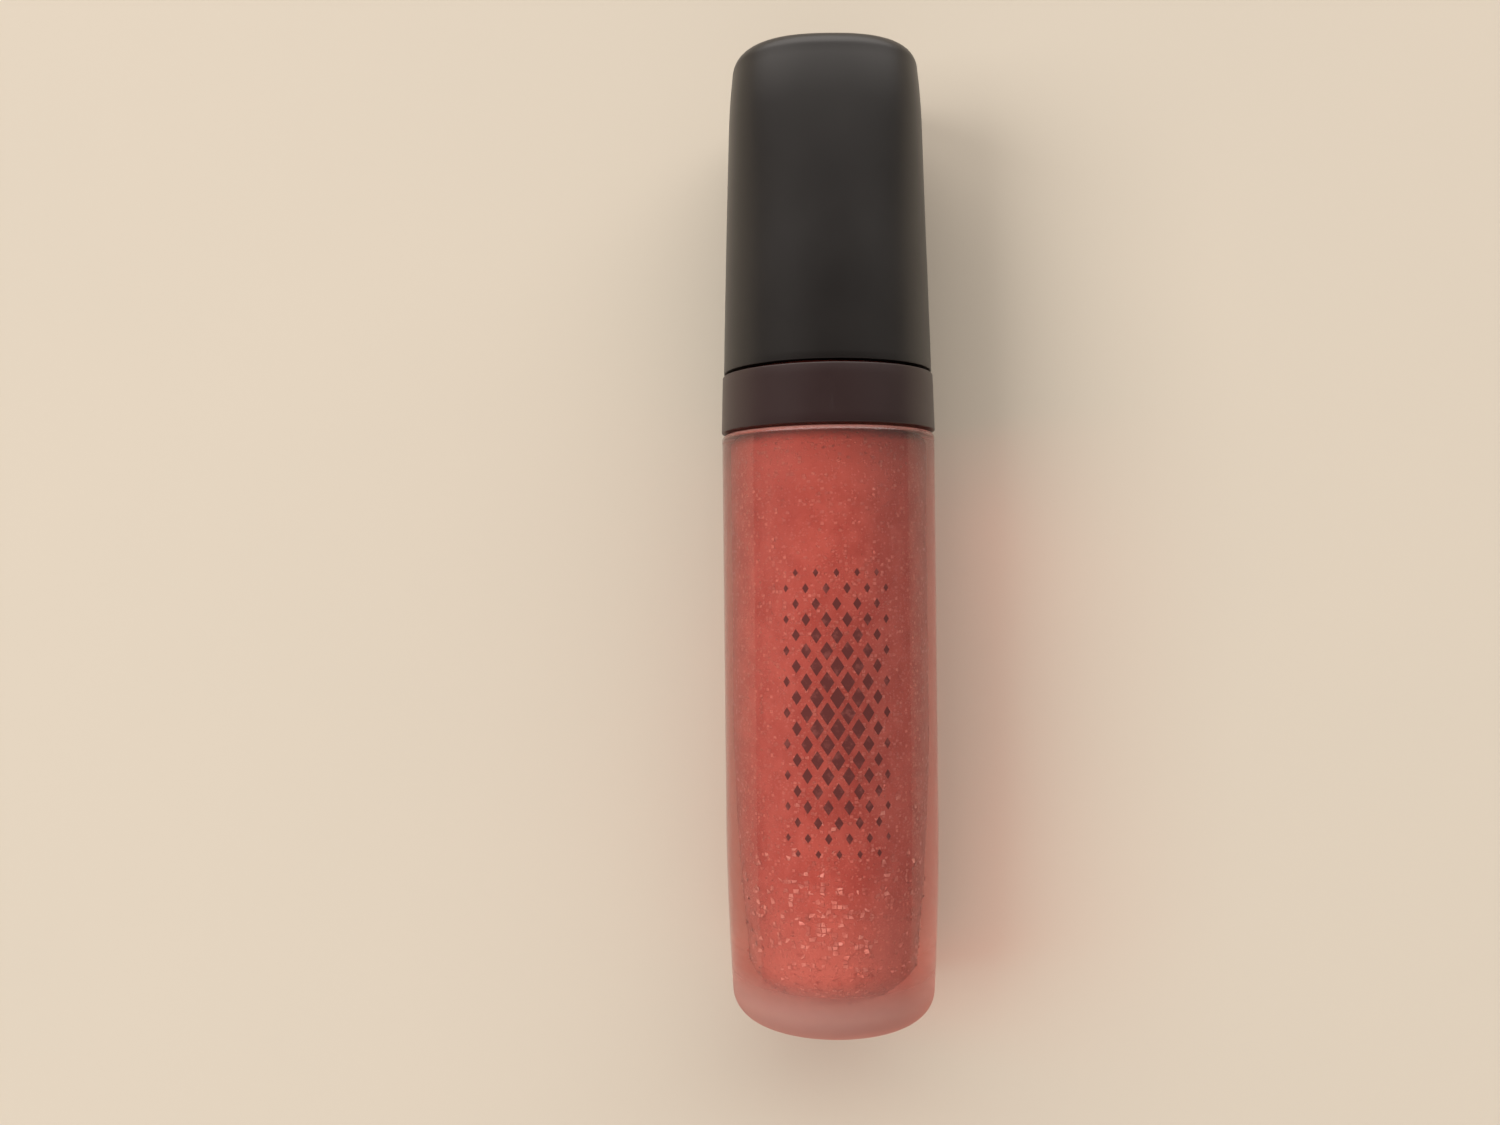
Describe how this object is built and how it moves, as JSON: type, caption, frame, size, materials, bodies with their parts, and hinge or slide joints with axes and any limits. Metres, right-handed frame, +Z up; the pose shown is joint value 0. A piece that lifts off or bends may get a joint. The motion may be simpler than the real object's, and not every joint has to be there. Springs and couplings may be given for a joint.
{
  "type": "lip gloss tube",
  "caption": "Round lip gloss tube with a thick clear wall, coral gloss, a black collar and a tapered black screw cap that carries a flocked applicator wand.",
  "frame": {"origin": "on the table under the middle of the lying tube, at the centre of its box", "axes": "+Y along the tube's axis from the base to the cap, +Z up, +X to the right"},
  "size_m": [0.0196, 0.0874, 0.0195],
  "materials": {
    "clear_plastic": "clear polished thick wall",
    "black_plastic": "black satin gloss",
    "wiper_plastic": "natural soft plastic",
    "gloss": "coral red with fine glitter",
    "seal_foam": "foamed sealing ring",
    "inner_plastic": "natural moulded plastic",
    "stem_plastic": "black moulded plastic",
    "flock": "short flocked pile, tinted by the gloss"
  },
  "bodies": {
    "bottle": {"bottle": "clear_plastic", "neck_collar": "black_plastic", "wiper": "wiper_plastic", "gloss_fill": "gloss"},
    "seal": {"cap_seal": "seal_foam"},
    "cap": {"outer_cap": "black_plastic", "inner_cap": "inner_plastic", "wand_stem": "stem_plastic", "applicator_core": "inner_plastic", "applicator_flock": "flock"}
  },
  "joints": [
    {"name": "wand_draw", "type": "slide", "parent": "bottle", "child": "seal", "axis": [0, 1, 0], "range_m": [0, 0.07]},
    {"name": "cap_unscrew", "type": "hinge", "parent": "seal", "child": "cap", "pos_m": [0, 0, 0.00977], "axis": [0, 1, 0], "range_deg": [0, 540]}
  ]
}
